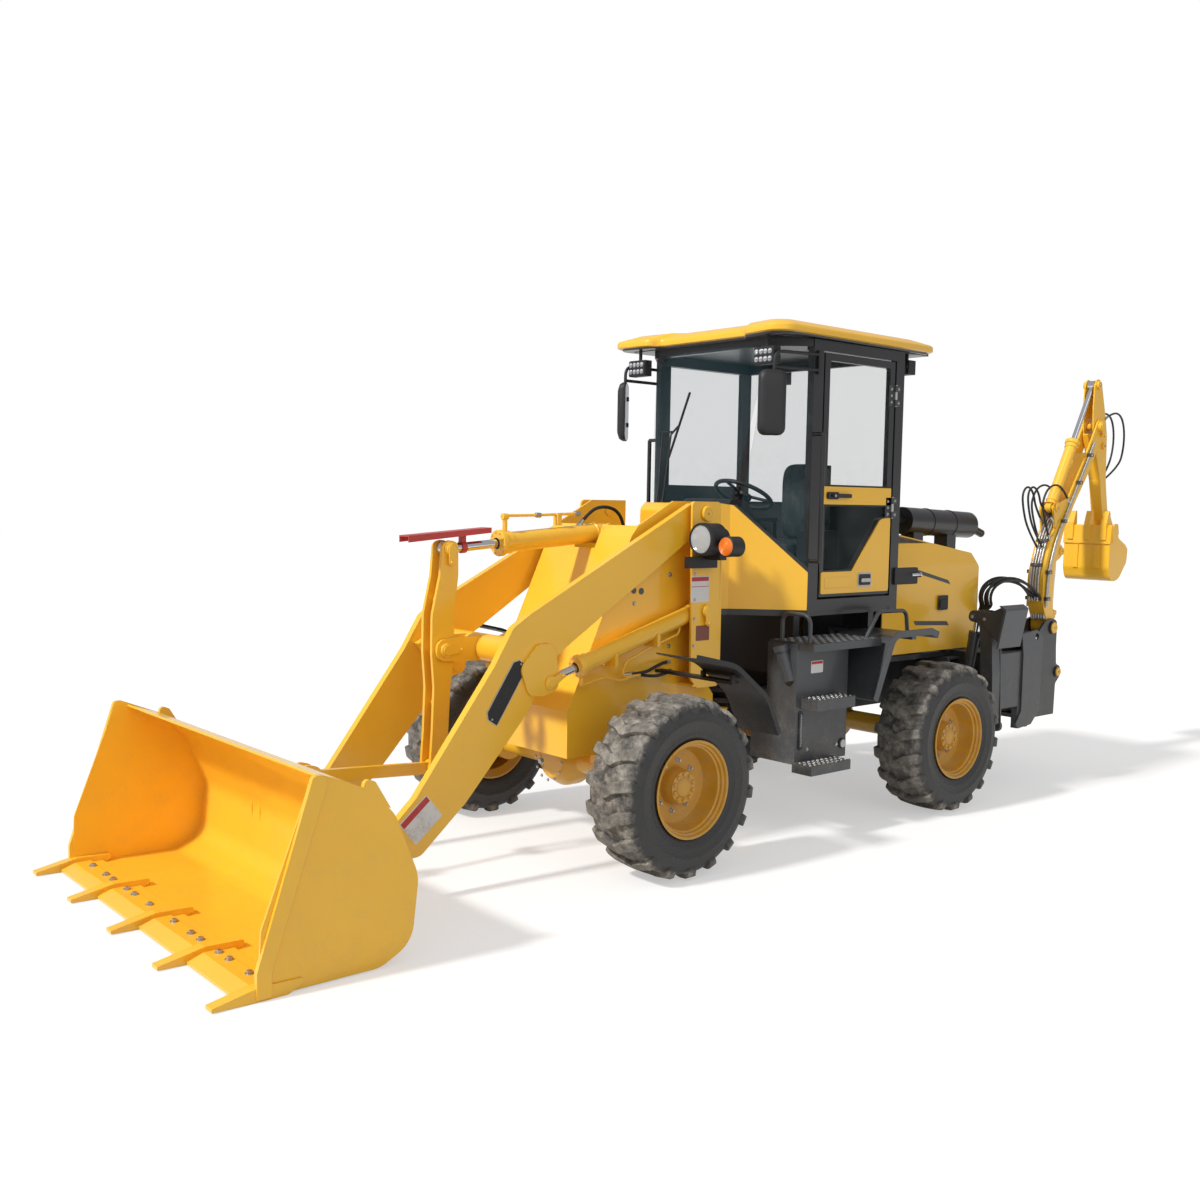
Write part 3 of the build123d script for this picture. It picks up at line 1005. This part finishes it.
def stick():
    plate = [(-5222, 3200, 48), (-5262, 3262, 50), (-5330, 3228, 48), (-5425, 2930), (-5462, 2780, 80),
             (-5478, 2400, 80), (-5512, 2230, 50), (-5536, 2120, 30), (-5534, 1975, 30), (-5600, 1900, 40),
             (-5560, 1826, 46), (-5496, 1856, 46), (-5380, 2400), (-5228, 2820, 60), (-5214, 3000)]
    body = hoe_both(plate, STICK_HALF - 12, STICK_HALF)
    web = [(-5236, 2790), (-5384, 2398), (-5488, 1950), (-5478, 1948), (-5374, 2400), (-5228, 2782)]
    body += hoe(web, -STICK_HALF + 1, STICK_HALF - 1)
    body += hoe([(-5345, 3160), (-5412, 2930), (-5402, 2930), (-5335, 3160)], -STICK_HALF + 1, STICK_HALF - 1)
    body -= hoe_pin(STICK_PIVOT, -90, 90, 30 + FIT) + hoe_pin(BUCKET_PIN, -90, 90, 22 + FIT)
    low, high = EYE_HALF["stick"] + REST, STICK_HALF + 14
    body += hoe_pin(STICK_EYE, low, high, 24) + hoe_pin(STICK_EYE, -high, -low, 24)
    body += hoe_pin(SCOOP_BASE, -STICK_HALF - 12, STICK_HALF + 12, 18) + hoe_pin(ROCKER_PIN, -STICK_HALF - 30, STICK_HALF + 30, 20)
    return body


parts["hoe_stick"] = stick()


def rocker():
    (px, pz), (ex, ez) = ROCKER_PIN, ROCKER_EYE
    dx, dz = (ex - px) / ROCKER_R * 34, (ez - pz) / ROCKER_R * 34
    bar = [(px + dz - dx, pz - dx - dz, 33), (px - dz - dx, pz + dx - dz, 33), (ex - dz + dx, ez + dx + dz, 33),
           (ex + dz + dx, ez - dx + dz, 33)]
    body = hoe_both(bar, STICK_HALF + GAP, STICK_HALF + GAP + 16)
    body -= hoe_pin(ROCKER_PIN, -90, 90, 20 + FIT)
    low, high = EYE_HALF["scoop"] + REST, STICK_HALF + GAP + 34
    return body + hoe_pin(ROCKER_EYE, low, high, 14) + hoe_pin(ROCKER_EYE, -high, -low, 14)


parts["hoe_rocker"] = rocker()


def link():
    (ax, az), (bx, bz) = ROCKER_EYE, LINK_EYE
    length = hypot(bx - ax, bz - az)
    ux, uz = (bx - ax) / length * 21, (bz - az) / length * 21
    bar = [(ax - uz - ux, az + ux - uz, 20), (ax + uz - ux, az - ux - uz, 20), (bx + uz + ux, bz - ux + uz, 20),
           (bx - uz + ux, bz + ux + uz, 20)]
    gap = STICK_HALF + GAP + 16 + 4
    body = hoe_both(bar, gap, gap + 12)
    return body - hoe_pin(ROCKER_EYE, -120, 120, 14 + FIT) - hoe_pin(LINK_EYE, -120, 120, 12)


parts["hoe_link"] = link()


def hoe_bucket():
    half = 210
    shell = [(-5318, 1985), (-5300, 1850), (-5292, 1640, 90), (-5330, 1522, 90), (-5470, 1540, 150), (-5600, 1690)]
    body = hoe(strip(shell, -9), -half + 8, half - 8)
    cheek = [(-5318, 1985), (-5300, 1850), (-5292, 1640, 90), (-5330, 1522, 90), (-5470, 1540, 150), (-5600, 1690),
             (-5612, 1800, 30), (-5570, 1840, 30), (-5440, 1900, 60), (-5400, 2015, 20), (-5352, 2015, 20)]
    body += hoe_both(cheek, half - 9, half)
    cutter = [(-5322, 1860), (-5310, 1990), (-5352, 2022, 20), (-5400, 2022, 20), (-5420, 1940), (-5380, 1880)]
    body += hoe_both(cutter, half - 1, half + 12)
    body += hoe([(-5300, 1850), (-5288, 1850), (-5302, 2000), (-5318, 2012), (-5330, 1990), (-5309, 1850)], -half - 6, half + 6)
    tooth = [(-5316, 1880), (-5278, 1880, 8), (-5286, 2030), (-5322, 2130, 6), (-5340, 2130, 6), (-5344, 2030), (-5334, 1960)]
    for offset in (-150, 0, 150):
        body += hoe(tooth, offset - 26, offset + 26)
    for offset in (-95, 95):
        body += hoe([(-5302, 1840), (-5294, 1640), (-5282, 1640), (-5288, 1840)], offset - 22, offset + 22)
    gap = STICK_HALF + GAP
    ear = [(-5480, 1600), (-5470, 1850), (-5500, 1925, 48), (-5590, 1920, 48), (-5665, 1790, 44), (-5640, 1722, 44), (-5590, 1690)]
    ear = ear[::-1]
    lug_in = STICK_HALF + GAP + 16 + 4 + 12 + 6
    body += hoe_both(ear, lug_in, lug_in + 16)
    body += hoe_both([(-5500, 1560), (-5480, 1600), (-5480, 1720), (-5590, 1700)], half - 120, half - 104)
    low, high = STICK_HALF + 3, STICK_HALF + GAP + 14
    body += hoe_pin(BUCKET_PIN, low, high, 36) + hoe_pin(BUCKET_PIN, -high, -low, 36)
    body += hoe_pin(BUCKET_PIN, -lug_in - 10, lug_in + 10, 22)
    return body


parts["hoe_bucket"] = hoe_bucket()

# ---- export --------------------------------------------------------------------------
boxes = [shape.bounding_box() for shape in parts.values()]
low = [min(tuple(b.min)[k] for b in boxes) for k in range(3)]
high = [max(tuple(b.max)[k] for b in boxes) for k in range(3)]
MID_X = -round(low[0] + high[0]) / 2
for name, shape in parts.items():
    export_step(Pos(MID_X, 0, 0) * shape, f"parts/{name}.step")
print(len(parts), "nodes, moved by", MID_X, "from", [round(v) for v in low], "to", [round(v) for v in high])
